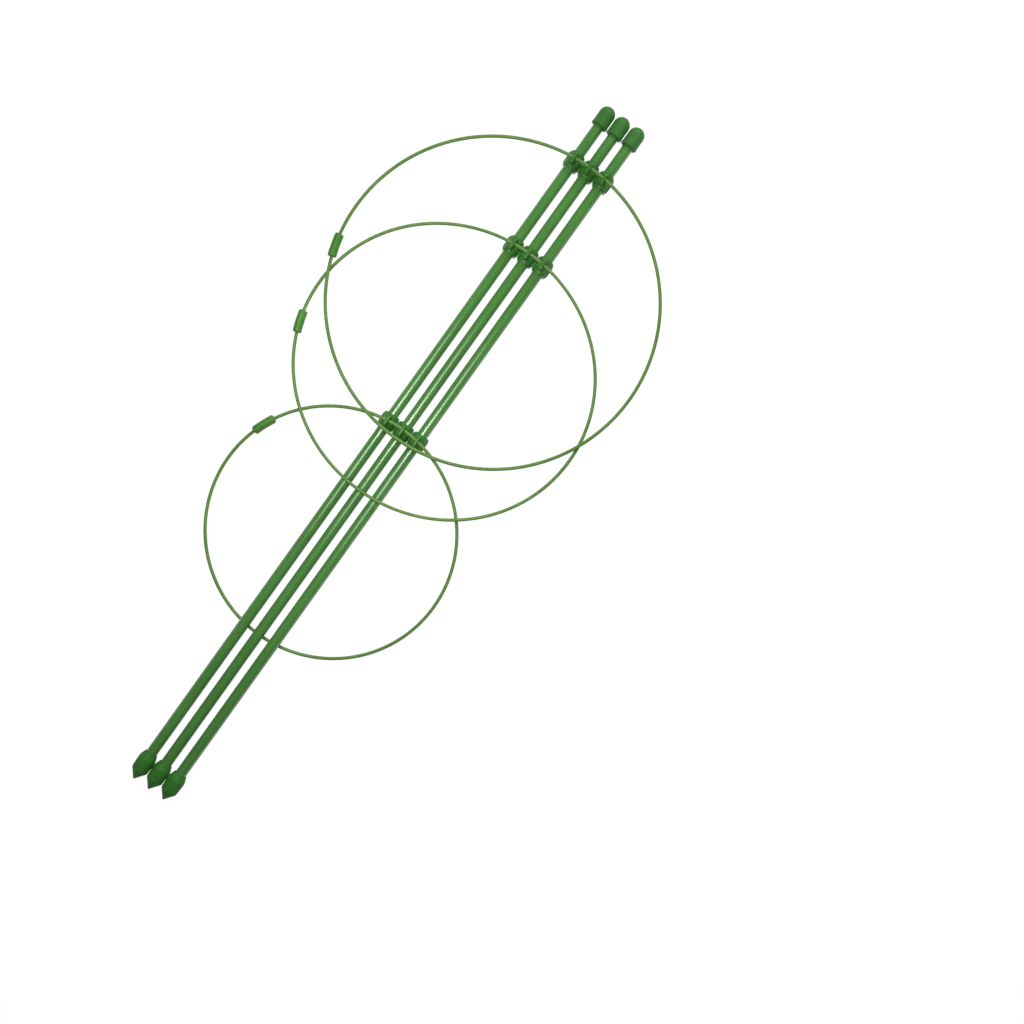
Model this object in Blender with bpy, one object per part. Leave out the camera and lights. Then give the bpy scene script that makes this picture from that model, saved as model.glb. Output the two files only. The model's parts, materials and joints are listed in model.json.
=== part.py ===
"""Folded plant support cage: three pointed poles, three wire rings and the clips that join them.

Units are metres. The cage lies on its back on the floor. The poles run along Y, with their caps
towards +Y and their tips towards -Y, and +Z is up. The origin is on the floor under the middle.
"""

import math

import bmesh
import bpy
from mathutils import Matrix, Vector

MM = 0.001

# Poles
OVERALL_LENGTH = 600 * MM
POLE_SPACING = 13.1 * MM
POLE_DIAMETER = 8.3 * MM
COAT_WALL = 0.5 * MM
TUBE_WALL = 0.6 * MM
SEAT_GAP = 0.3 * MM

# Caps at the poles' upper ends
CAP_LENGTH = 16.3 * MM
CAP_DIAMETER = 12.3 * MM
CAP_LIP_DIAMETER = 12.7 * MM
CAP_LIP_LENGTH = 1.6 * MM
CAP_SOCKET_DEPTH = 11.5 * MM

# Pointed tips at the poles' lower ends
TIP_LENGTH = 22.3 * MM
TIP_DIAMETER = 12.8 * MM
TIP_SHOULDER = 4.5 * MM
TIP_BELLY = 6.0 * MM
TIP_CONE_DIAMETER = 11.9 * MM
TIP_CONE_LENGTH = 7.7 * MM
TIP_SOCKET_DEPTH = 11.0 * MM
TIP_COLLAR_WALL = 0.5 * MM

# Clips
CLIP_WIDTH = 12.7 * MM
CLIP_FRONT = 5.2 * MM
CLIP_ABOVE_WIRE = 5.3 * MM
CLIP_BELOW_WIRE = 6.9 * MM
CLIP_END_CHAMFER = 2.2 * MM
CLIP_EDGE_CHAMFER = 3.2 * MM
STRAP_WIDTH = 2.4 * MM
STRAP_ABOVE_WIRE = 3.4 * MM
STRAP_BELOW_WIRE = 5.4 * MM
STRAP_THICKNESS = 1.5 * MM
STRAP_ROOT = 0.4 * MM
EYE_PLAY = 0.35 * MM

# Ring wires and the sleeves over their joints
WIRE_DIAMETER = 2.5 * MM
WIRE_HEIGHT = 8.0 * MM
WIRE_END_GAP = 1.0 * MM
WIRE_PASS_GAP = 0.3 * MM
UNDER_POLE_GAP = 0.4 * MM
FLOOR_GAP = 0.15 * MM
JOINER_LENGTH = 17.5 * MM
JOINER_DIAMETER = 6.6 * MM
JOINER_CHAMFER = 1.2 * MM

# Facets
ROUND_SIDES = 24
CAP_HEAD_STEPS = 6
RING_STEPS = 96
WIRE_BEVEL_RESOLUTION = 2
JOINER_STEPS = 8
SMOOTH_BELOW_DEG = 35

# Tolerances of the maths
SAME_PLACE = 0.001 * MM
TANGENT_STEP = 0.001
BISECTIONS = 60

SIDES = (("left", -1), ("centre", 0), ("right", 1))

# Each ring's station is the distance from the caps' tops to its row of clips. Its width is across
# the poles and its reach is along them. The joiner's angle is counted from the centre clip.
RINGS = {
    "ring_1": {"station": 46.8 * MM, "width": 241.0 * MM, "reach": 240.7 * MM, "joiner_deg": 105.7},
    "ring_2": {"station": 122.8 * MM, "width": 222.0 * MM, "reach": 210.5 * MM, "joiner_deg": 107.0},
    "ring_3": {"station": 279.6 * MM, "width": 185.0 * MM, "reach": 184.2 * MM, "joiner_deg": 66.6},
}

POLE_RADIUS = POLE_DIAMETER / 2
WIRE_RADIUS = WIRE_DIAMETER / 2
CLIP_BACK = POLE_RADIUS + UNDER_POLE_GAP + WIRE_DIAMETER + FLOOR_GAP
POLE_AXIS_HEIGHT = CLIP_BACK
CAP_TOP = OVERALL_LENGTH / 2
TIP_POINT = -OVERALL_LENGTH / 2
POLE_TOP = CAP_TOP - CAP_LENGTH + CAP_SOCKET_DEPTH
POLE_FOOT = TIP_POINT + TIP_LENGTH - TIP_SOCKET_DEPTH

COLOURS = {
    "pole_coat": ((0.075, 0.235, 0.055), 0.35, 0.0),
    "steel_tube": ((0.42, 0.42, 0.41), 0.35, 1.0),
    "cap_plastic": ((0.050, 0.180, 0.036), 0.45, 0.0),
    "tip_plastic": ((0.038, 0.165, 0.028), 0.45, 0.0),
    "clip_plastic": ((0.050, 0.195, 0.035), 0.45, 0.0),
    "ring_wire": ((0.170, 0.320, 0.085), 0.35, 0.0),
    "joiner_plastic": ((0.065, 0.215, 0.042), 0.40, 0.0),
}


def make_materials():
    """Makes one Principled material for each finish."""
    made = {}
    for name, (colour, roughness, metallic) in COLOURS.items():
        material = bpy.data.materials.new(name)
        material.use_nodes = True
        shader = material.node_tree.nodes["Principled BSDF"]
        shader.inputs["Base Color"].default_value = (*colour, 1.0)
        shader.inputs["Roughness"].default_value = roughness
        shader.inputs["Metallic"].default_value = metallic
        made[name] = material
    return made


def add_object(name, mesh, material, place=(0, 0, 0)):
    """Puts a mesh into the scene as one named piece."""
    piece = bpy.data.objects.new(name, mesh)
    bpy.context.scene.collection.objects.link(piece)
    if not mesh.materials:
        mesh.materials.append(material)
    piece.location = place
    return piece


def mesh_from(bm, name, smooth=True):
    """Turns a bmesh into a mesh, with its round faces shaded smooth."""
    mesh = bpy.data.meshes.new(name)
    bm.to_mesh(mesh)
    bm.free()
    if smooth:
        mesh.shade_smooth()
        mesh.set_sharp_from_angle(angle=math.radians(SMOOTH_BELOW_DEG))
    return mesh


def turned(profile):
    """Spins a closed outline of (radius, y) points round the Y axis into a solid."""
    bm = bmesh.new()
    points = [bm.verts.new((radius, y, 0)) for radius, y in profile]
    pairs = zip(points, points[1:] + points[:1])
    edges = [bm.edges.new(pair) for pair in pairs if max(pair[0].co.x, pair[1].co.x) > 0]
    bmesh.ops.spin(
        bm, geom=points + edges, axis=(0, 1, 0), cent=(0, 0, 0), angle=math.tau,
        steps=ROUND_SIDES, use_merge=True,
    )
    bmesh.ops.remove_doubles(bm, verts=bm.verts, dist=SAME_PLACE)
    bmesh.ops.recalc_face_normals(bm, faces=bm.faces)
    return bm


def arc(centre, radius, start_deg, end_deg, steps):
    """Points on an arc in the profile's plane."""
    angles = [math.radians(start_deg + (end_deg - start_deg) * i / steps) for i in range(steps + 1)]
    return [(centre[0] + radius * math.cos(a), centre[1] + radius * math.sin(a)) for a in angles]


def tube_profile(outer, inner, low, high):
    """A plain tube's wall."""
    return [(outer, low), (outer, high), (inner, high), (inner, low)]


def cap_profile():
    """A round-headed sleeve, from its lip up over the head and back down its socket."""
    radius = CAP_DIAMETER / 2
    lip = CAP_LIP_DIAMETER / 2
    foot = CAP_TOP - CAP_LENGTH
    socket = POLE_RADIUS + SEAT_GAP
    head = arc((0, CAP_TOP - radius), radius, 0, 90, CAP_HEAD_STEPS)
    outside = [(lip, foot), (lip, foot + CAP_LIP_LENGTH), (radius, foot + CAP_LIP_LENGTH + (lip - radius))]
    inside = [(0, POLE_TOP + SEAT_GAP), (socket, POLE_TOP + SEAT_GAP), (socket, foot)]
    return outside + head[:-1] + [(0, CAP_TOP)] + inside


def tip_profile():
    """A socket that flares to a belly, then draws in to a cone with its point on the axis."""
    socket = POLE_RADIUS + SEAT_GAP
    collar = socket + TIP_COLLAR_WALL
    top = TIP_POINT + TIP_LENGTH
    belly = TIP_DIAMETER / 2
    cone = TIP_CONE_DIAMETER / 2
    waist = TIP_POINT + TIP_CONE_LENGTH
    outside = [(0, TIP_POINT), (cone, waist), (belly, waist + TIP_BELLY)]
    outside += [(belly, top - TIP_SHOULDER), (collar, top)]
    inside = [(socket, top), (socket, POLE_FOOT - SEAT_GAP), (0, POLE_FOOT - SEAT_GAP)]
    return outside + inside


def half_width(ring, distance):
    """How far a ring's wire is from the middle, at a distance along the ring from its clips."""
    offset = distance / (ring["reach"] / 2) - 1
    return ring["width"] / 2 * math.sqrt(max(0.0, 1 - offset * offset))


def side_clip_sag(ring):
    """How far the wire has curved away from the centre clip where it meets the side clips."""
    return ring["reach"] / 2 * (1 - math.sqrt(1 - (POLE_SPACING / (ring["width"] / 2)) ** 2))


def crossing(upper, lower):
    """The station at which two folded rings' wires cross, seen from above."""
    low = lower["station"]
    high = min(upper["station"] + upper["reach"], lower["station"] + lower["reach"])
    for _ in range(BISECTIONS):
        station = (low + high) / 2
        inside = half_width(lower, station - lower["station"]) < half_width(upper, station - upper["station"])
        if inside:
            low = station
        else:
            high = station
    return station


def slope_over(upper, lower, station, radii):
    """The slope that lays something of the upper ring on the lower ring's wire at a station."""
    lower_rise = (station - lower["station"]) * math.tan(lower["slope"])
    return math.atan((lower_rise + radii + WIRE_PASS_GAP) / (station - upper["station"]))


def rise_over(upper, lower):
    """The slope at which the upper ring's wire, and its joiner if it is there, lie on the lower wire."""
    slopes = [slope_over(upper, lower, crossing(upper, lower), WIRE_DIAMETER)]
    radii = JOINER_DIAMETER / 2 + WIRE_RADIUS
    half_turn = JOINER_LENGTH / upper["width"]
    for part in (-1, 0, 1):
        angle = math.radians(upper["joiner_deg"]) + part * half_turn
        across = upper["width"] / 2 * math.sin(angle)
        station = upper["station"] + upper["reach"] / 2 * (1 - math.cos(angle))
        beside = abs(across - half_width(lower, station - lower["station"]))
        if beside < radii + WIRE_PASS_GAP:
            slopes.append(slope_over(upper, lower, station, radii))
    return max(slopes)


def lay_rings():
    """Finds each ring's slope: the lowest passes under the poles, and the others lie on it."""
    first, second, third = RINGS.values()
    under_poles = -(POLE_RADIUS + WIRE_RADIUS + UNDER_POLE_GAP)
    third["slope"] = math.asin((under_poles - WIRE_HEIGHT) / third["reach"])
    second["slope"] = rise_over(second, third)
    first["slope"] = max(rise_over(first, second), rise_over(first, third))


def ring_point(ring, angle):
    """A point of the wire's centre line from the ring's pivot, with the ring laid at its slope."""
    x = -ring["width"] / 2 * math.sin(angle)
    along = ring["reach"] / 2 * (1 - math.cos(angle)) - side_clip_sag(ring) / 2
    return Vector((x, -along * math.cos(ring["slope"]), along * math.sin(ring["slope"])))


def pivot_place(ring):
    """The middle of a ring's row of clips, on the line that the ring swings about."""
    return Vector((0, CAP_TOP - ring["station"], POLE_AXIS_HEIGHT + WIRE_HEIGHT))


def wire_mesh(name, ring):
    """Bends a round wire into a ring whose two ends meet inside the joiner."""
    middle = math.radians(ring["joiner_deg"])
    opening = WIRE_END_GAP / ring["width"]
    first = middle + opening
    last = middle + math.tau - opening
    curve = bpy.data.curves.new(name, "CURVE")
    curve.dimensions = "3D"
    curve.bevel_depth = WIRE_RADIUS
    curve.bevel_resolution = WIRE_BEVEL_RESOLUTION
    curve.use_fill_caps = True
    spline = curve.splines.new("POLY")
    spline.points.add(RING_STEPS)
    for step, point in enumerate(spline.points):
        angle = first + (last - first) * step / RING_STEPS
        point.co = (*ring_point(ring, angle), 1)
    return curve


def joiner_mesh(name, ring):
    """Turns a chamfered sleeve, then bends it to lie along the ring at its joint."""
    outer = JOINER_DIAMETER / 2
    inner = WIRE_RADIUS + SEAT_GAP
    half = JOINER_LENGTH / 2
    shoulder = half - JOINER_CHAMFER
    stations = [-shoulder + 2 * shoulder * i / JOINER_STEPS for i in range(JOINER_STEPS + 1)]
    outside = [(outer - JOINER_CHAMFER, -half)] + [(outer, y) for y in stations]
    outside.append((outer - JOINER_CHAMFER, half))
    inside = [(inner, y) for y in [half] + stations[::-1] + [-half]]
    bm = turned(outside + inside)
    middle = math.radians(ring["joiner_deg"])
    face = Vector((0, math.sin(ring["slope"]), math.cos(ring["slope"])))
    for vert in bm.verts:
        angle = middle + vert.co.y / (ring["width"] / 2)
        ahead = ring_point(ring, angle + TANGENT_STEP)
        along = (ahead - ring_point(ring, angle - TANGENT_STEP)).normalized()
        outward = along.cross(face)
        vert.co = ring_point(ring, angle) + outward * vert.co.x + face * vert.co.z
    return mesh_from(bm, name)


def box_cutter(name, low, high):
    """A plain block between two corners, used only to cut or add."""
    bm = bmesh.new()
    bmesh.ops.create_cube(bm, size=1)
    size = Vector(high) - Vector(low)
    bmesh.ops.scale(bm, vec=size, verts=bm.verts)
    bmesh.ops.translate(bm, vec=Vector(low) + size / 2, verts=bm.verts)
    return mesh_from(bm, name, smooth=False)


def guide(name, mesh):
    """A hidden helper that a Boolean reads."""
    helper = bpy.data.objects.new(name, mesh)
    bpy.context.scene.collection.objects.link(helper)
    helper.hide_render = True
    helper.display_type = "WIRE"
    return helper


def boolean(piece, operation, other):
    """Adds one exact Boolean to a piece."""
    modifier = piece.modifiers.new(operation.lower(), "BOOLEAN")
    modifier.operation = operation
    modifier.solver = "EXACT"
    modifier.object = other


def clip_body_mesh():
    """The clip's sleeve as a block with chamfered ends and edges, about the ring's pivot line."""
    low = Vector((-CLIP_WIDTH / 2, -CLIP_BELOW_WIRE, -WIRE_HEIGHT - CLIP_BACK))
    high = Vector((CLIP_WIDTH / 2, CLIP_ABOVE_WIRE, -WIRE_HEIGHT + CLIP_FRONT))
    bm = bmesh.new()
    bmesh.ops.create_cube(bm, size=1)
    bmesh.ops.scale(bm, vec=high - low, verts=bm.verts)
    bmesh.ops.translate(bm, vec=(low + high) / 2, verts=bm.verts)
    lengthways = [e for e in bm.edges if abs(e.verts[0].co.y - e.verts[1].co.y) > SAME_PLACE]
    bmesh.ops.bevel(
        bm, geom=lengthways, offset=CLIP_EDGE_CHAMFER, offset_type="OFFSET", segments=2,
        profile=0.5, affect="EDGES", material=-1, clamp_overlap=True,
    )
    at_side = {v for v in bm.verts if abs(abs(v.co.x) - CLIP_WIDTH / 2) < SAME_PLACE}
    sides = [
        e for e in bm.edges
        if at_side.issuperset(e.verts) and abs(e.verts[0].co.y - e.verts[1].co.y) < SAME_PLACE
    ]
    bmesh.ops.bevel(
        bm, geom=sides, offset=CLIP_END_CHAMFER, offset_type="OFFSET", segments=1,
        profile=0.5, affect="EDGES", material=-1, clamp_overlap=True,
    )
    return mesh_from(bm, "clip_body", smooth=False)


def make_clips(materials):
    """Cuts the pole bore and the wire's eye, and puts a clip on every crossing."""
    eye_half = WIRE_RADIUS + max(side_clip_sag(ring) for ring in RINGS.values()) / 2 + EYE_PLAY
    strap_top = eye_half + STRAP_THICKNESS
    front = CLIP_FRONT - WIRE_HEIGHT
    bore_radius = POLE_RADIUS + SEAT_GAP
    bore = bmesh.new()
    bmesh.ops.create_cone(
        bore, cap_ends=True, segments=ROUND_SIDES, radius1=bore_radius, radius2=bore_radius,
        depth=2 * (CLIP_ABOVE_WIRE + CLIP_BELOW_WIRE),
        matrix=Matrix.Translation((0, 0, -WIRE_HEIGHT)) @ Matrix.Rotation(math.pi / 2, 4, "X"),
    )
    bore_guide = guide("clip_bore_guide", mesh_from(bore, "clip_bore", smooth=False))
    strap_guide = guide(
        "clip_strap_guide",
        box_cutter(
            "clip_strap",
            (-STRAP_WIDTH / 2, -STRAP_BELOW_WIRE, front - STRAP_ROOT),
            (STRAP_WIDTH / 2, STRAP_ABOVE_WIRE, strap_top),
        ),
    )
    eye_guide = guide(
        "clip_eye_guide",
        box_cutter("clip_eye", (-STRAP_WIDTH, -eye_half, front), (STRAP_WIDTH, eye_half, eye_half)),
    )
    body = clip_body_mesh()
    for ring_name, ring in RINGS.items():
        for side, sign in SIDES:
            place = pivot_place(ring) + Vector((sign * POLE_SPACING, 0, 0))
            clip = add_object(f"{ring_name}_clip_{side}", body, materials["clip_plastic"], place)
            for helper in (strap_guide, bore_guide, eye_guide):
                local = helper.copy()
                local.location = place
                bpy.context.scene.collection.objects.link(local)
                operation = "UNION" if helper is strap_guide else "DIFFERENCE"
                boolean(clip, operation, local)


def make_poles(materials):
    """Puts a coated tube, a cap and a tip in each of the three places."""
    coat_inner = POLE_RADIUS - COAT_WALL
    tube_outer = coat_inner - SEAT_GAP
    shapes = {
        "pole_coat": (tube_profile(POLE_RADIUS, coat_inner, POLE_FOOT, POLE_TOP), "pole_coat"),
        "pole_tube": (tube_profile(tube_outer, tube_outer - TUBE_WALL, POLE_FOOT, POLE_TOP), "steel_tube"),
        "pole_cap": (cap_profile(), "cap_plastic"),
        "pole_tip": (tip_profile(), "tip_plastic"),
    }
    for kind, (profile, material) in shapes.items():
        mesh = mesh_from(turned(profile), kind)
        for side, sign in SIDES:
            place = (sign * POLE_SPACING, 0, POLE_AXIS_HEIGHT)
            add_object(f"{kind}_{side}", mesh, materials[material], place)


def make_rings(materials):
    """Puts each ring's wire and joiner on its pivot line."""
    for name, ring in RINGS.items():
        place = pivot_place(ring)
        add_object(f"{name}_wire", wire_mesh(f"{name}_wire", ring), materials["ring_wire"], place)
        add_object(f"{name}_joiner", joiner_mesh(f"{name}_joiner", ring), materials["joiner_plastic"], place)


def main():
    """Builds the whole cage."""
    for old in list(bpy.data.objects):
        bpy.data.objects.remove(old)
    lay_rings()
    materials = make_materials()
    make_poles(materials)
    make_clips(materials)
    make_rings(materials)
    for name, ring in RINGS.items():
        print(name, "slope in degrees:", round(math.degrees(ring["slope"]), 3))


main()
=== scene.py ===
"""Looks of the folded plant support cage: rounded mouldings, finishes, light, floor and camera.

Units are metres. The poles lie along Y with their caps towards +Y, and +Z is up from the floor.
"""

import json
import math

import bmesh
import bpy
from mathutils import Matrix, Vector


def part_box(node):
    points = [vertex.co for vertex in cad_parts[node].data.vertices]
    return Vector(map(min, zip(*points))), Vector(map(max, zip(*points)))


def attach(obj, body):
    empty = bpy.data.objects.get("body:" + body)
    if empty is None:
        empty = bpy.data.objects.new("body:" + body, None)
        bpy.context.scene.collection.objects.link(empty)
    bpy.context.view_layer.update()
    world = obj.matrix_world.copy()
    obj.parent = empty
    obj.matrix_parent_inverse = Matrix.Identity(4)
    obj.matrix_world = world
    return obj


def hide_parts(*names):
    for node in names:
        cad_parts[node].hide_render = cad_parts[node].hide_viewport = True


MM = 0.001
SIDES = ("left", "centre", "right")
RINGS = ("ring_1", "ring_2", "ring_3")

# Photograph: what lies in its middle, how much it shows at the poles' height, the poles' turn in it
# and how near it was taken, found from how far the raised wires stand out of place in it
PHOTO_MIDDLE = Vector((0.0987, 0.0183, 0.0))
PHOTO_WIDTH = 0.7465
PHOTO_TURN_DEG = 35.52
CAMERA_HEIGHT = 0.87
CAMERA_NEAR = 0.01
CAMERA_FAR = 50.0
SENSOR_WIDTH = 36.0

# Light: a long lamp over the middle that draws the stripes, a short one that makes them brightest
# beside the lowest ring's clips, a soft one beyond the caps, and the sky
STRIPE_LAMP_PLACE = Vector((-0.06, 0.021, 0.575))
STRIPE_LAMP_SIZE = (0.34, 0.33)
STRIPE_LAMP_POWER = 1.75
BRIGHT_LAMP_PLACE = Vector((-0.06, 0.032, 0.585))
BRIGHT_LAMP_SIZE = (0.34, 0.045)
BRIGHT_LAMP_POWER = 1.0
SOFT_LAMP_PLACE = Vector((-0.05, 1.05, 0.62))
SOFT_LAMP_SIZE = (1.0, 0.5)
SOFT_LAMP_POWER = 7.8
SKY_TOP = 0.13
SKY_EDGE = 0.08
SKY_REFLECTED = 0.08

# Floor: half its side, its colour for the light that it throws back, and what is seen of it, a glow
# with a share of the light on it, which keeps the shadow
FLOOR_HALF = 4.0
FLOOR_BOUNCE = 0.7
FLOOR_GLOW = 0.91
FLOOR_SHADE = 0.20

# Finishes: the noises' scales in cells a metre (the scuffs' as a multiple of the streaks'), where tone
# and scuffs begin and end, and how much each noise changes the colour, the roughness and the relief
CLOUD_SCALE = 28.0
MOTTLE_SCALE = 260.0
PIT_SCALE = 2600.0
SCUFF_SCALE = 2.3
EVEN_STREAKS = (420, 420, 420)
WIRE_STREAKS = (300, 300, 300)
POLE_STREAKS = (900, 22, 900)
STEEL_STREAKS = (2500, 25, 2500)
TONE_EDGES = (0.38, 0.62)
TONE_CLOUD = 0.5
TONE_STREAK = 0.3
TONE_MOTTLE = 0.2
SCUFF_EDGES = (0.63, 0.74)
SCUFF_PALENESS = 0.35
GLOSS_CLOUD = 0.06
GLOSS_STREAK = 0.08
GLOSS_SCUFF = 0.10
RELIEF_STREAK = 0.6
RELIEF_MOTTLE = 0.25
RELIEF_SCUFF = 0.3
RELIEF_STRENGTH = 0.4
RELIEF_DEPTH = 0.05 * MM
STEEL_DARK = (0.34, 0.34, 0.33)
STEEL_PALE = (0.50, 0.50, 0.49)
STEEL_ROUGHNESS = 0.28
STEEL_BRUSHING = 0.2

# Facets: the steps of each curve, and which places are shaded smooth or merged
ROUND_SIDES = 64
WIRE_SIDES = 20
JOINER_SIDES = 40
RING_STEPS = 288
JOINER_STEPS = 14
JOINER_CHAMFER_STEPS = 4
DOME_STEPS = 12
CORNER_STEPS = 4
SLEEVE_FRONT_STEPS = 10
SLEEVE_BACK_STEPS = 6
WING_CORNER_STEPS = 2
STRAP_END_STEPS = 5
STRAP_SIDE_STEPS = 3
EDGE_STEPS = 2
SMOOTH_BELOW_DEG = 32
MERGE = 0.002 * MM

# Fits between pieces
SEAT_GAP = 0.3 * MM
SIDE_GAP = 0.1 * MM
COAT_WALL = 0.5 * MM
COAT_END_ROUND = 0.2 * MM

# Caps
CAP_BARREL_RADIUS = 6.15 * MM
CAP_LIP_LENGTH = 1.6 * MM
CAP_LIP_ROUND = 0.45 * MM
CAP_SOCKET_DEPTH = 11.5 * MM

# Tips
TIP_CONE_RADIUS = 6.2 * MM
TIP_CONE_LENGTH = 7.7 * MM
TIP_BELLY = 6.0 * MM
TIP_SHOULDER = 4.5 * MM
TIP_COLLAR_WALL = 0.5 * MM
TIP_SOCKET_DEPTH = 11.0 * MM
TIP_POINT_ROUND = 0.5 * MM
TIP_WAIST_ROUND = 2.5 * MM
TIP_BELLY_ROUND = 9.0 * MM
TIP_SHOULDER_ROUND = 3.5 * MM
TIP_RIM_ROUND = 0.3 * MM

# Clips: the sleeve round the pole, the wings beside it and the strap over the wire; edges are rounded
# where their faces turn by more than the angles
SLEEVE_FRONT = 5.2 * MM
SLEEVE_WIDTH = 10.8 * MM
SLEEVE_FRONT_ROUND = 5.2 * MM
SLEEVE_BACK_ROUND = 3.2 * MM
WING_BACK = 2.6 * MM
WING_RIDGE = 2.0 * MM
WING_RIM = 0.2 * MM
WING_STEP = 0.8 * MM
WING_SUNK = 1.2 * MM
WING_CORNER_ROUND = 2.2 * MM
STRAP_WIDTH = 2.4 * MM
STRAP_ABOVE_WIRE = 3.4 * MM
STRAP_BELOW_WIRE = 5.4 * MM
STRAP_THICKNESS = 1.5 * MM
STRAP_ROOT = 0.4 * MM
STRAP_END_ROUND = 1.6 * MM
STRAP_SIDE_ROUND = 0.8 * MM
STRAP_SIDE_ABOVE_DEG = 60
BORE_DEPTH = 40.0 * MM
EDGE_ROUND = 0.22 * MM
EDGE_ABOVE_DEG = 38

# Rings and the sleeves over their joints
WIRE_RADIUS = 1.25 * MM
WIRE_END_GAP = 1.0 * MM
JOINER_RADIUS = 3.3 * MM
JOINER_LENGTH = 17.5 * MM
JOINER_CHAMFER = 1.2 * MM


class Value:
    """A number or colour that changes over a surface, so that shader maths reads as arithmetic."""

    def __init__(self, finish, socket):
        self.finish = finish
        self.socket = socket

    def maths(self, operation, first, second):
        """Joins two numbers by one maths node."""
        return self.finish.node("ShaderNodeMath", {"operation": operation}, {0: first, 1: second})

    def __add__(self, other):
        return self.maths("ADD", self, other)

    def __radd__(self, other):
        return self.maths("ADD", other, self)

    def __sub__(self, other):
        return self.maths("SUBTRACT", self, other)

    def __rsub__(self, other):
        return self.maths("SUBTRACT", other, self)

    def __mul__(self, other):
        return self.maths("MULTIPLY", self, other)

    def __rmul__(self, other):
        return self.maths("MULTIPLY", other, self)


class Finish:
    """A node tree that is being built, with one method that adds any node."""

    def __init__(self, tree):
        self.tree = tree

    def feed(self, socket, value):
        """Links a changing value to a socket, or sets a plain one on it."""
        if isinstance(value, Value):
            self.tree.links.new(value.socket, socket)
        else:
            socket.default_value = value

    def node(self, kind, settings=None, inputs=None, output=0):
        """Adds a node with its settings and inputs, and gives one of its outputs."""
        made = self.tree.nodes.new(kind)
        for key, value in (settings or {}).items():
            setattr(made, key, value)
        for key, value in (inputs or {}).items():
            self.feed(made.inputs[key], value)
        return Value(self, made.outputs[output])

    def noise(self, place, scale, detail=2.0, roughness=0.5):
        """Noise about 0.5, at so many cells a metre."""
        inputs = {"Vector": place, "Scale": scale, "Detail": detail, "Roughness": roughness}
        return self.node("ShaderNodeTexNoise", {}, inputs)

    def mask(self, value, low, high):
        """0 below the low value, 1 above the high one and smooth between them."""
        inputs = {"Value": value, "From Min": low, "From Max": high}
        return self.node("ShaderNodeMapRange", {"interpolation_type": "SMOOTHSTEP"}, inputs)

    def blend(self, share, first, second):
        """Mixes two colours."""
        settings = {"data_type": "RGBA", "clamp_factor": True}
        return self.node("ShaderNodeMix", settings, {0: share, 6: first, 7: second}, 2)


def colour(red, green, blue):
    """A plain colour in linear light."""
    return (red, green, blue, 1.0)


def grey(value):
    """A plain grey in linear light."""
    return colour(value, value, value)


def new_finish(name, streaks):
    """A material with its shader, the place on the piece and that place stretched along the streaks."""
    material = bpy.data.materials.new(name)
    material.use_nodes = True
    finish = Finish(material.node_tree)
    shader = material.node_tree.nodes["Principled BSDF"]
    place = finish.node("ShaderNodeTexCoord", output=3)
    drawn = finish.node("ShaderNodeMapping", inputs={"Vector": place, "Scale": streaks})
    return material, finish, shader, place, drawn


def plastic(name, base, dark, pale, roughness, sheen, grain, streaks):
    """A moulded or extruded plastic: cloudy colour, scuffs, a fine grain and faint flow streaks."""
    material, finish, shader, place, drawn = new_finish(name, streaks)
    cloud = finish.noise(place, CLOUD_SCALE, detail=3.0)
    mottle = finish.noise(place, MOTTLE_SCALE, detail=3.0, roughness=0.6)
    streak = finish.noise(drawn, 1.0, detail=4.0, roughness=0.6)
    pits = finish.noise(place, PIT_SCALE)
    scuff = finish.mask(finish.noise(drawn, SCUFF_SCALE, detail=5.0, roughness=0.75), *SCUFF_EDGES)
    tone = finish.mask(TONE_CLOUD * cloud + TONE_STREAK * streak + TONE_MOTTLE * mottle, *TONE_EDGES)
    body = finish.blend(tone, colour(*dark), colour(*base))
    scuffed = finish.blend(SCUFF_PALENESS * scuff, body, colour(*pale))
    finish.feed(shader.inputs["Base Color"], scuffed)
    gloss = roughness + GLOSS_CLOUD * (cloud - 0.5) + GLOSS_STREAK * (streak - 0.5) + GLOSS_SCUFF * scuff
    finish.feed(shader.inputs["Roughness"], gloss)
    height = grain * pits + RELIEF_STREAK * streak + RELIEF_MOTTLE * mottle - RELIEF_SCUFF * scuff
    relief = {"Height": height, "Strength": RELIEF_STRENGTH, "Distance": RELIEF_DEPTH}
    finish.feed(shader.inputs["Normal"], finish.node("ShaderNodeBump", inputs=relief))
    shader.inputs["Specular IOR Level"].default_value = sheen
    return material


def bare_steel(name):
    """Thin drawn steel tube, brushed lengthways."""
    material, finish, shader, _, drawn = new_finish(name, STEEL_STREAKS)
    line = finish.noise(drawn, 1.0, detail=3.0)
    tone = finish.blend(line, colour(*STEEL_DARK), colour(*STEEL_PALE))
    finish.feed(shader.inputs["Base Color"], tone)
    finish.feed(shader.inputs["Roughness"], STEEL_ROUGHNESS + STEEL_BRUSHING * line)
    shader.inputs["Metallic"].default_value = 1.0
    return material


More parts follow.
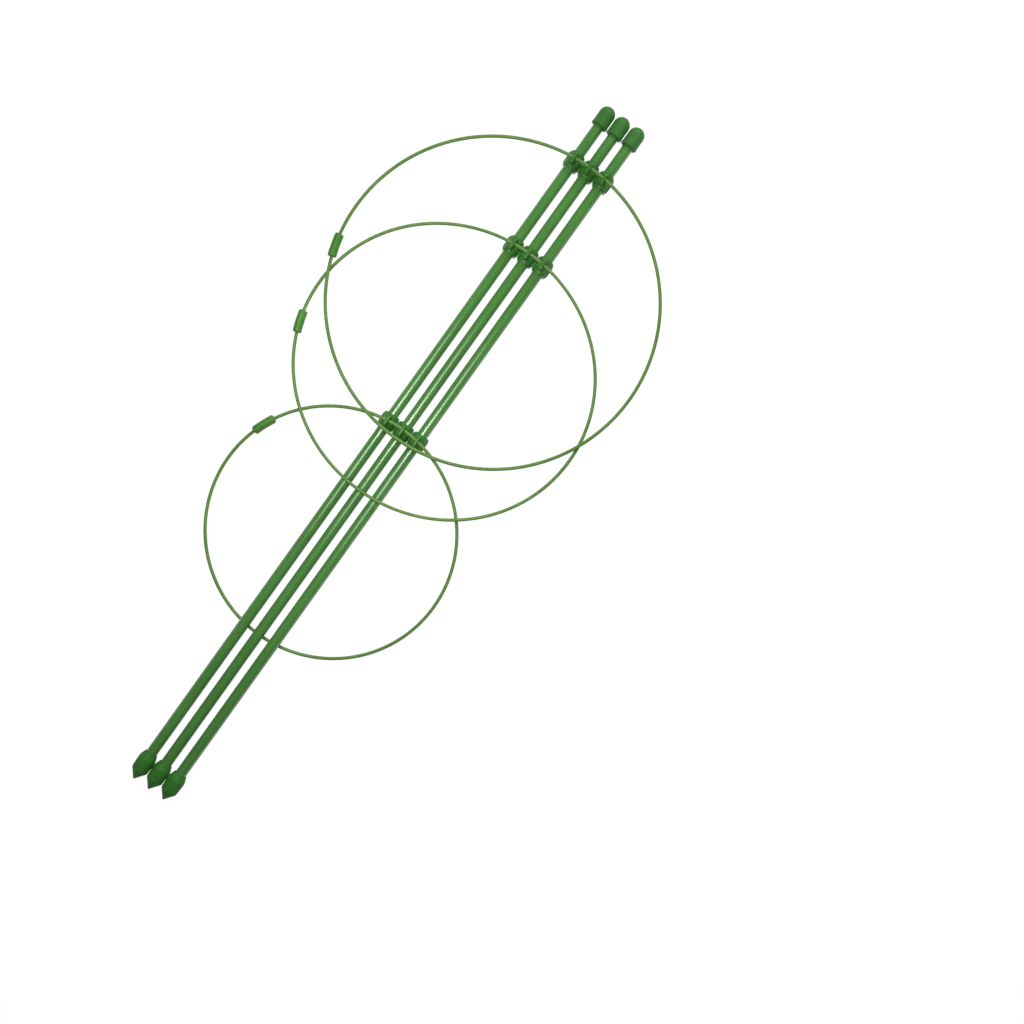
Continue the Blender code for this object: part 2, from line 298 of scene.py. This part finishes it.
def make_finishes():
    """One material for each of the record's slots."""
    return {
        "pole_coat": plastic(
            "satin_pole_coat", base=(0.078, 0.245, 0.050), dark=(0.062, 0.208, 0.040),
            pale=(0.14, 0.34, 0.11), roughness=0.19, sheen=0.75, grain=0.3, streaks=POLE_STREAKS,
        ),
        "cap_plastic": plastic(
            "moulded_cap_green", base=(0.050, 0.185, 0.034), dark=(0.038, 0.155, 0.026),
            pale=(0.09, 0.26, 0.07), roughness=0.50, sheen=0.20, grain=0.9, streaks=EVEN_STREAKS,
        ),
        "tip_plastic": plastic(
            "moulded_tip_green", base=(0.040, 0.180, 0.027), dark=(0.030, 0.150, 0.020),
            pale=(0.08, 0.24, 0.06), roughness=0.50, sheen=0.12, grain=0.9, streaks=EVEN_STREAKS,
        ),
        "clip_plastic": plastic(
            "moulded_clip_green", base=(0.050, 0.195, 0.032), dark=(0.038, 0.162, 0.024),
            pale=(0.10, 0.28, 0.07), roughness=0.34, sheen=0.25, grain=0.6, streaks=EVEN_STREAKS,
        ),
        "ring_wire": plastic(
            "coated_wire_green", base=(0.130, 0.260, 0.056), dark=(0.098, 0.212, 0.040),
            pale=(0.20, 0.34, 0.12), roughness=0.34, sheen=0.22, grain=0.6, streaks=WIRE_STREAKS,
        ),
        "joiner_plastic": plastic(
            "moulded_joiner_green", base=(0.076, 0.230, 0.032), dark=(0.055, 0.190, 0.025),
            pale=(0.14, 0.31, 0.07), roughness=0.34, sheen=0.25, grain=0.7, streaks=EVEN_STREAKS,
        ),
        "steel_tube": bare_steel("drawn_steel_tube"),
    }


def rounded(corners):
    """An outline whose (x, y, radius) corners are rounded by arcs that touch both of their sides."""
    points = []
    for index, (x, y, radius) in enumerate(corners):
        here = Vector((x, y))
        if radius == 0:
            points.append(here)
            continue
        before = (Vector(corners[index - 1][:2]) - here).normalized()
        after = (Vector(corners[(index + 1) % len(corners)][:2]) - here).normalized()
        half = before.angle(after) / 2
        centre = here + (before + after).normalized() * radius / math.sin(half)
        start = (here + before * radius / math.tan(half) - centre).normalized()
        end = (here + after * radius / math.tan(half) - centre).normalized()
        turns = [step / CORNER_STEPS for step in range(CORNER_STEPS + 1)]
        points += [centre + radius * start.slerp(end, turn) for turn in turns]
    return points


def dome(top, radius):
    """A round head's outline, from its top on the axis down to its widest place."""
    angles = [math.radians(90 * step / DOME_STEPS) for step in range(DOME_STEPS)]
    return [Vector((radius * math.sin(a), top - radius + radius * math.cos(a))) for a in angles]


def turned(outline, centre, closed=False):
    """Spins an outline of (radius, y) points round a line along Y through the centre."""
    bm = bmesh.new()
    verts = [bm.verts.new((max(x, 0.0), y, 0)) for x, y in outline]
    pairs = list(zip(verts, verts[1:]))
    if closed:
        pairs.append((verts[-1], verts[0]))
    edges = [bm.edges.new(pair) for pair in pairs]
    bmesh.ops.spin(
        bm, geom=verts + edges, axis=(0, 1, 0), cent=(0, 0, 0), angle=math.tau, steps=ROUND_SIDES,
        use_merge=True,
    )
    bmesh.ops.translate(bm, vec=(centre.x, 0, centre.z), verts=bm.verts)
    return bm


def round_edges(bm, edges, size, steps):
    """Rounds some edges of a shape, in so many steps."""
    bmesh.ops.bevel(
        bm, geom=edges, offset=size, offset_type="OFFSET", segments=steps, profile=0.5,
        affect="EDGES", material=-1, clamp_overlap=True,
    )


def mesh_of(bm, name):
    """Closes a bmesh, turns its faces outwards and shades its round places smooth."""
    bmesh.ops.remove_doubles(bm, verts=bm.verts, dist=MERGE)
    bmesh.ops.recalc_face_normals(bm, faces=bm.faces)
    mesh = bpy.data.meshes.new(name)
    bm.to_mesh(mesh)
    bm.free()
    mesh.shade_smooth()
    mesh.set_sharp_from_angle(angle=math.radians(SMOOTH_BELOW_DEG))
    return mesh


def add_piece(bm, name, slot, body, node):
    """Puts a finished shape in place of a CAD node."""
    mesh = mesh_of(bm, name)
    mesh.materials.append(finishes[slot])
    piece = bpy.data.objects.new(name, mesh)
    bpy.context.scene.collection.objects.link(piece)
    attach(piece, body)
    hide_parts(node)


def middle(node):
    """The middle of a CAD node's box."""
    low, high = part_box(node)
    return (low + high) / 2


def joint_place(ring):
    """Where a ring's swing joint is."""
    joint = next(joint for joint in frame["joints"] if joint["child"] == ring)
    return Vector(joint["pos_m"])


def pole_radius():
    """The outer radius of the poles' coats."""
    low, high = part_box("pole_coat_centre")
    return (high.x - low.x) / 2


def pole_spacing():
    """How far apart the poles lie."""
    return middle("pole_coat_right").x - middle("pole_coat_centre").x


def make_pole(side):
    """The pole's coat as a tube with rounded rims, over its CAD steel tube."""
    node = f"pole_coat_{side}"
    low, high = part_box(node)
    outer = pole_radius()
    inner = outer - COAT_WALL
    outline = rounded([
        (outer, low.y, COAT_END_ROUND), (outer, high.y, COAT_END_ROUND),
        (inner, high.y, 0), (inner, low.y, 0),
    ])
    add_piece(turned(outline, middle(node), True), f"coated_pole_{side}", "pole_coat", "poles", node)
    tube = frame["nodes"][f"pole_tube_{side}"]
    tube.data.materials.clear()
    tube.data.materials.append(finishes["steel_tube"])


def make_cap(side):
    """A round-headed cap with a lip round its mouth."""
    node = f"pole_cap_{side}"
    low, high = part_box(node)
    lip = (high.x - low.x) / 2
    socket = pole_radius() + SEAT_GAP
    floor = low.y + CAP_SOCKET_DEPTH
    barrel = CAP_BARREL_RADIUS
    step = low.y + CAP_LIP_LENGTH
    outline = dome(high.y, barrel) + rounded([
        (barrel, high.y - barrel, 0), (barrel, step, CAP_LIP_ROUND / 2),
        (lip, step - (lip - barrel), CAP_LIP_ROUND / 4), (lip, low.y, CAP_LIP_ROUND),
        (socket, low.y, CAP_LIP_ROUND / 2), (socket, floor, 0), (0, floor, 0),
    ])
    add_piece(turned(outline, middle(node)), f"moulded_cap_{side}", "cap_plastic", "poles", node)


def make_tip(side):
    """A pointed tip that flares from its socket to a belly and draws in to a cone."""
    node = f"pole_tip_{side}"
    low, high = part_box(node)
    belly = (pole_spacing() - SIDE_GAP) / 2
    socket = pole_radius() + SEAT_GAP
    collar = socket + TIP_COLLAR_WALL
    waist = low.y + TIP_CONE_LENGTH
    floor = high.y - TIP_SOCKET_DEPTH
    outline = rounded([
        (0, low.y, 0), (TIP_POINT_ROUND, low.y + TIP_POINT_ROUND / 4, TIP_POINT_ROUND / 4),
        (TIP_CONE_RADIUS, waist, TIP_WAIST_ROUND), (belly, waist + TIP_BELLY, TIP_BELLY_ROUND),
        (belly, high.y - TIP_SHOULDER, TIP_SHOULDER_ROUND), (collar, high.y, TIP_RIM_ROUND),
        (socket, high.y, 0), (socket, floor, 0), (0, floor, 0),
    ])
    add_piece(turned(outline, middle(node)), f"moulded_tip_{side}", "tip_plastic", "poles", node)


class RingShape:
    """How one ring's wire lies, worked out from its CAD node, its joiner and its joint."""

    def __init__(self, name):
        low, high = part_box(f"{name}_wire")
        self.width = high.x - low.x - 2 * WIRE_RADIUS
        along = high.y - low.y - 2 * WIRE_RADIUS
        rise = high.z - low.z - 2 * WIRE_RADIUS
        self.centre = (low + high) / 2
        sign = -1 if self.centre.z < joint_place(name).z else 1
        self.slope = sign * math.atan2(rise, along)
        self.reach = math.hypot(along, rise)
        spot = middle(f"{name}_joiner") - self.centre
        self.joint_angle = math.atan2(-spot.x / self.width, spot.y / along)

    def place(self, bm):
        """Takes a ring made flat about the origin, with its clips at +Y, to where this one lies."""
        squeeze = Matrix.Diagonal((1, self.reach / self.width, 1, 1))
        lay = Matrix.Translation(self.centre) @ Matrix.Rotation(-self.slope, 4, "X") @ squeeze
        bmesh.ops.transform(bm, matrix=lay, verts=bm.verts)

    def sweep(self, bm, radius, start, angle, steps, sides):
        """Sweeps a round section along part of the ring, and gives the edges of its two ends."""
        stand = Matrix.Translation((0, self.width / 2, 0)) @ Matrix.Rotation(math.pi / 2, 4, "Y")
        matrix = Matrix.Rotation(start, 4, "Z") @ stand
        section = bmesh.ops.create_circle(bm, segments=sides, radius=radius, matrix=matrix)["verts"]
        first = list({edge for vert in section for edge in vert.link_edges})
        swept = bmesh.ops.spin(
            bm, geom=section + first, axis=(0, 0, 1), cent=(0, 0, 0), angle=angle, steps=steps,
            use_merge=False,
        )["geom_last"]
        return first, [item for item in swept if isinstance(item, bmesh.types.BMEdge)]


def make_wire(name, ring):
    """One ring's coated wire, open where the joiner covers its ends."""
    gap = WIRE_END_GAP / ring.width
    bm = bmesh.new()
    ends = ring.sweep(bm, WIRE_RADIUS, ring.joint_angle + gap, math.tau - 2 * gap, RING_STEPS, WIRE_SIDES)
    for end in ends:
        bmesh.ops.holes_fill(bm, edges=end, sides=WIRE_SIDES)
    ring.place(bm)
    add_piece(bm, f"coated_{name}_wire", "ring_wire", name, f"{name}_wire")


def make_joiner(name, ring):
    """The chamfered sleeve over the place where a ring's wire ends meet."""
    turn = JOINER_LENGTH / (ring.width / 2)
    start = ring.joint_angle - turn / 2
    bm = bmesh.new()
    outer = ring.sweep(bm, JOINER_RADIUS, start, turn, JOINER_STEPS, JOINER_SIDES)
    inner = ring.sweep(bm, WIRE_RADIUS + SEAT_GAP, start, turn, JOINER_STEPS, JOINER_SIDES)
    for rim, mouth in zip(outer, inner):
        bmesh.ops.bridge_loops(bm, edges=rim + mouth)
    bmesh.ops.recalc_face_normals(bm, faces=bm.faces)
    round_edges(bm, outer[0] + outer[1], JOINER_CHAMFER, JOINER_CHAMFER_STEPS)
    ring.place(bm)
    add_piece(bm, f"moulded_{name}_joiner", "joiner_plastic", name, f"{name}_joiner")


def block(low, high):
    """A plain block between two corners, to be shaped further."""
    bm = bmesh.new()
    bmesh.ops.create_cube(bm, size=1)
    bmesh.ops.scale(bm, vec=high - low, verts=bm.verts)
    bmesh.ops.translate(bm, vec=(low + high) / 2, verts=bm.verts)
    return bm


def runs_along(edge, axis):
    """Whether an edge runs along one of the three axes."""
    span = edge.verts[0].co - edge.verts[1].co
    return abs(span[axis]) > MERGE and all(abs(span[other]) < MERGE for other in {0, 1, 2} - {axis})


def shape_object(bm, name):
    """A plain object, for a shape that a Boolean reads or changes and for the floor."""
    mesh = bpy.data.meshes.new(name)
    bm.to_mesh(mesh)
    bm.free()
    made = bpy.data.objects.new(name, mesh)
    bpy.context.scene.collection.objects.link(made)
    return made


def carve(body, steps):
    """Applies Booleans to a body, one after another, rounds its edges and gives the mesh."""
    for operation, other in steps:
        modifier = body.modifiers.new(operation.lower(), "BOOLEAN")
        modifier.operation = operation
        modifier.solver = "EXACT"
        modifier.object = other
    edge = body.modifiers.new("edges", "BEVEL")
    edge.width = EDGE_ROUND
    edge.segments = EDGE_STEPS
    edge.limit_method = "ANGLE"
    edge.angle_limit = math.radians(EDGE_ABOVE_DEG)
    evaluated = body.evaluated_get(bpy.context.evaluated_depsgraph_get())
    mesh = bpy.data.meshes.new_from_object(evaluated)
    for helper in [body] + [other for _, other in steps]:
        bpy.data.objects.remove(helper)
    return mesh


def sleeve_shape(low, high, front):
    """The clip's sleeve, round in front and flat behind, before its bore."""
    half = SLEEVE_WIDTH / 2
    bm = block(Vector((-half, low.y, low.z)), Vector((half, high.y, front)))
    long_edges = [edge for edge in bm.edges if runs_along(edge, 1)]
    back_edges = [edge for edge in long_edges if edge.verts[0].co.z < low.z + MERGE]
    front_edges = [edge for edge in long_edges if edge not in back_edges]
    round_edges(bm, back_edges, SLEEVE_BACK_ROUND, SLEEVE_BACK_STEPS)
    round_edges(bm, front_edges, SLEEVE_FRONT_ROUND, SLEEVE_FRONT_STEPS)
    return bm


def wing_shape(low, high, axis):
    """The plate out of both sides of a sleeve: it rises to a ridge under the wire, then steps down."""
    half = (pole_spacing() - SIDE_GAP) / 2
    bm = block(
        Vector((-half, low.y, axis - WING_BACK)), Vector((half, high.y, axis + WING_RIDGE)),
    )
    corners = [edge for edge in bm.edges if runs_along(edge, 2)]
    round_edges(bm, corners, WING_CORNER_ROUND, WING_CORNER_STEPS)
    for station in (0, -WING_STEP):
        geom = bm.verts[:] + bm.edges[:] + bm.faces[:]
        bmesh.ops.bisect_plane(bm, geom=geom, dist=MERGE, plane_co=(0, station, 0), plane_no=(0, 1, 0))
    for vert in bm.verts:
        if vert.co.z > axis and vert.co.y > -MERGE:
            vert.co.z += (WING_RIM - WING_RIDGE) * vert.co.y / high.y
        elif vert.co.z > axis:
            vert.co.z = axis - WING_SUNK
    return bm


def strap_shape(front, top):
    """The strap that holds the wire down, as a bar with rounded ends and sides, before its eye."""
    bm = block(
        Vector((-STRAP_WIDTH / 2, -STRAP_BELOW_WIRE, front - STRAP_ROOT)),
        Vector((STRAP_WIDTH / 2, STRAP_ABOVE_WIRE, top)),
    )
    ends = [edge for edge in bm.edges if runs_along(edge, 0) and edge.verts[0].co.z > 0]
    round_edges(bm, ends, STRAP_END_ROUND, STRAP_END_STEPS)
    steep = math.radians(STRAP_SIDE_ABOVE_DEG)
    face = {vert for vert in bm.verts if vert.co.z > front}
    sides = [edge for edge in bm.edges if face.issuperset(edge.verts) and not runs_along(edge, 0)]
    sides = [edge for edge in sides if len(edge.link_faces) == 2 and edge.calc_face_angle() > steep]
    round_edges(bm, sides, STRAP_SIDE_ROUND, STRAP_SIDE_STEPS)
    return bm


def clip_mesh():
    """One clip about its ring's pivot: the sleeve round the pole and the strap over the wire."""
    pivot = joint_place(RINGS[0])
    low, high = (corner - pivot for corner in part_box(f"{RINGS[0]}_clip_centre"))
    axis = middle("pole_coat_centre").z - pivot.z
    front = axis + SLEEVE_FRONT
    eye_half = high.z - STRAP_THICKNESS
    bore = bmesh.new()
    bmesh.ops.create_cone(
        bore, cap_ends=True, segments=ROUND_SIDES, radius1=pole_radius() + SEAT_GAP,
        radius2=pole_radius() + SEAT_GAP, depth=BORE_DEPTH,
        matrix=Matrix.Translation((0, 0, axis)) @ Matrix.Rotation(math.pi / 2, 4, "X"),
    )
    eye = block(Vector((-STRAP_WIDTH, -eye_half, front)), Vector((STRAP_WIDTH, eye_half, eye_half)))
    return carve(shape_object(sleeve_shape(low, high, front), "sleeve"), [
        ("UNION", shape_object(wing_shape(low, high, axis), "wings")),
        ("UNION", shape_object(strap_shape(front, high.z), "strap")),
        ("DIFFERENCE", shape_object(bore, "bore")),
        ("DIFFERENCE", shape_object(eye, "eye")),
    ])


def make_clips():
    """A clip on every crossing of a ring and a pole, all from one moulding."""
    moulding = clip_mesh()
    first = middle(f"{RINGS[0]}_clip_centre") - joint_place(RINGS[0])
    for ring in RINGS:
        for side in SIDES:
            node = f"{ring}_clip_{side}"
            bm = bmesh.new()
            bm.from_mesh(moulding)
            bmesh.ops.translate(bm, vec=middle(node) - first, verts=bm.verts)
            add_piece(bm, f"moulded_{node}", "clip_plastic", f"{ring}_clips", node)


def make_camera():
    """A camera straight above the middle of the photograph."""
    data = bpy.data.cameras.new("camera")
    data.sensor_width = SENSOR_WIDTH
    data.lens = SENSOR_WIDTH * CAMERA_HEIGHT / PHOTO_WIDTH
    data.clip_start = CAMERA_NEAR
    data.clip_end = CAMERA_FAR
    camera = bpy.data.objects.new("camera", data)
    bpy.context.scene.collection.objects.link(camera)
    camera.location = PHOTO_MIDDLE + Vector((0, 0, middle("pole_coat_centre").z + CAMERA_HEIGHT))
    camera.rotation_euler = (0, 0, math.radians(PHOTO_TURN_DEG))
    bpy.context.scene.camera = camera


def rays(finish, *kinds):
    """1 for rays of the named kinds and 0 for all others."""
    path = finish.tree.nodes.new("ShaderNodeLightPath")
    found = Value(finish, path.outputs[f"Is {kinds[0]} Ray"])
    for kind in kinds[1:]:
        found = found + Value(finish, path.outputs[f"Is {kind} Ray"])
    return found


def make_floor():
    """A plain white floor that keeps a soft shadow."""
    bm = bmesh.new()
    bmesh.ops.create_grid(bm, x_segments=1, y_segments=1, size=FLOOR_HALF)
    floor = shape_object(bm, "floor")
    material = bpy.data.materials.new("white_floor")
    material.use_nodes = True
    tree = material.node_tree
    tree.nodes.clear()
    finish = Finish(tree)
    bounce = finish.node("ShaderNodeBsdfDiffuse", inputs={"Color": grey(FLOOR_BOUNCE)})
    shade = finish.node("ShaderNodeBsdfDiffuse", inputs={"Color": grey(FLOOR_SHADE)})
    glow = finish.node("ShaderNodeEmission", inputs={"Strength": FLOOR_GLOW})
    shown = finish.node("ShaderNodeAddShader", inputs={0: shade, 1: glow})
    seen = rays(finish, "Camera", "Glossy", "Transmission")
    surface = finish.node("ShaderNodeMixShader", inputs={0: seen, 1: bounce, 2: shown})
    output = tree.nodes.new("ShaderNodeOutputMaterial")
    finish.feed(output.inputs["Surface"], surface)
    floor.data.materials.append(material)


def make_sky():
    """A pale sky that is brighter overhead, white where it is seen and dim where it is reflected."""
    world = bpy.data.worlds.new("studio")
    world.use_nodes = True
    bpy.context.scene.world = world
    finish = Finish(world.node_tree)
    direction = finish.node("ShaderNodeTexCoord", output=0)
    rise = finish.node("ShaderNodeSeparateXYZ", inputs={0: direction}, output=2)
    sky = SKY_EDGE + (SKY_TOP - SKY_EDGE) * finish.mask(rise, 0.0, 1.0)
    seen = rays(finish, "Camera", "Transmission")
    reflected = rays(finish, "Glossy")
    strength = sky * (1 - seen - reflected) + seen + SKY_REFLECTED * reflected
    background = world.node_tree.nodes["Background"]
    background.inputs["Color"].default_value = grey(1.0)
    finish.feed(background.inputs["Strength"], strength)


def make_lamp(name, place, size, power, target):
    """A rectangular lamp that faces a target and isn't seen by the camera."""
    data = bpy.data.lights.new(name, "AREA")
    data.shape = "RECTANGLE"
    data.size, data.size_y = size
    data.energy = power
    lamp = bpy.data.objects.new(name, data)
    bpy.context.scene.collection.objects.link(lamp)
    back = (place - target).normalized()
    across = Vector((0, 1, 0)).cross(back).normalized()
    up = back.cross(across)
    lamp.matrix_world = Matrix.Translation(place) @ Matrix((across, up, back)).transposed().to_4x4()
    lamp.visible_camera = False


def make_lamps():
    """The three lamps: two face the centre pole straight across from them, the soft one its middle."""
    lamps = (
        ("stripe_lamp", STRIPE_LAMP_PLACE, STRIPE_LAMP_SIZE, STRIPE_LAMP_POWER, STRIPE_LAMP_PLACE.y),
        ("bright_lamp", BRIGHT_LAMP_PLACE, BRIGHT_LAMP_SIZE, BRIGHT_LAMP_POWER, BRIGHT_LAMP_PLACE.y),
        ("soft_lamp", SOFT_LAMP_PLACE, SOFT_LAMP_SIZE, SOFT_LAMP_POWER, 0),
    )
    for name, place, size, power, faced in lamps:
        make_lamp(name, place, size, power, Vector((0, faced, 0)))


bpy.context.scene.view_settings.view_transform = "Standard"
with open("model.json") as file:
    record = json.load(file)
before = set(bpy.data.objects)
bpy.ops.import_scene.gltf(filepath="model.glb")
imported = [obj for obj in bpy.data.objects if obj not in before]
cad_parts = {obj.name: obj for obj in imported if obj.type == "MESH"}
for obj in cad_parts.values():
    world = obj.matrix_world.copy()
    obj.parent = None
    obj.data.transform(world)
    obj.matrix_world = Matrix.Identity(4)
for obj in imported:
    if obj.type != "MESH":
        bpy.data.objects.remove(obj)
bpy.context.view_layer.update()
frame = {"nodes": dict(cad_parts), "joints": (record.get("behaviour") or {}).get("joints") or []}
finishes = make_finishes()
for side in SIDES:
    make_pole(side)
    make_cap(side)
    make_tip(side)
make_clips()
for name in RINGS:
    shape = RingShape(name)
    make_wire(name, shape)
    make_joiner(name, shape)
make_camera()
make_floor()
make_sky()
make_lamps()
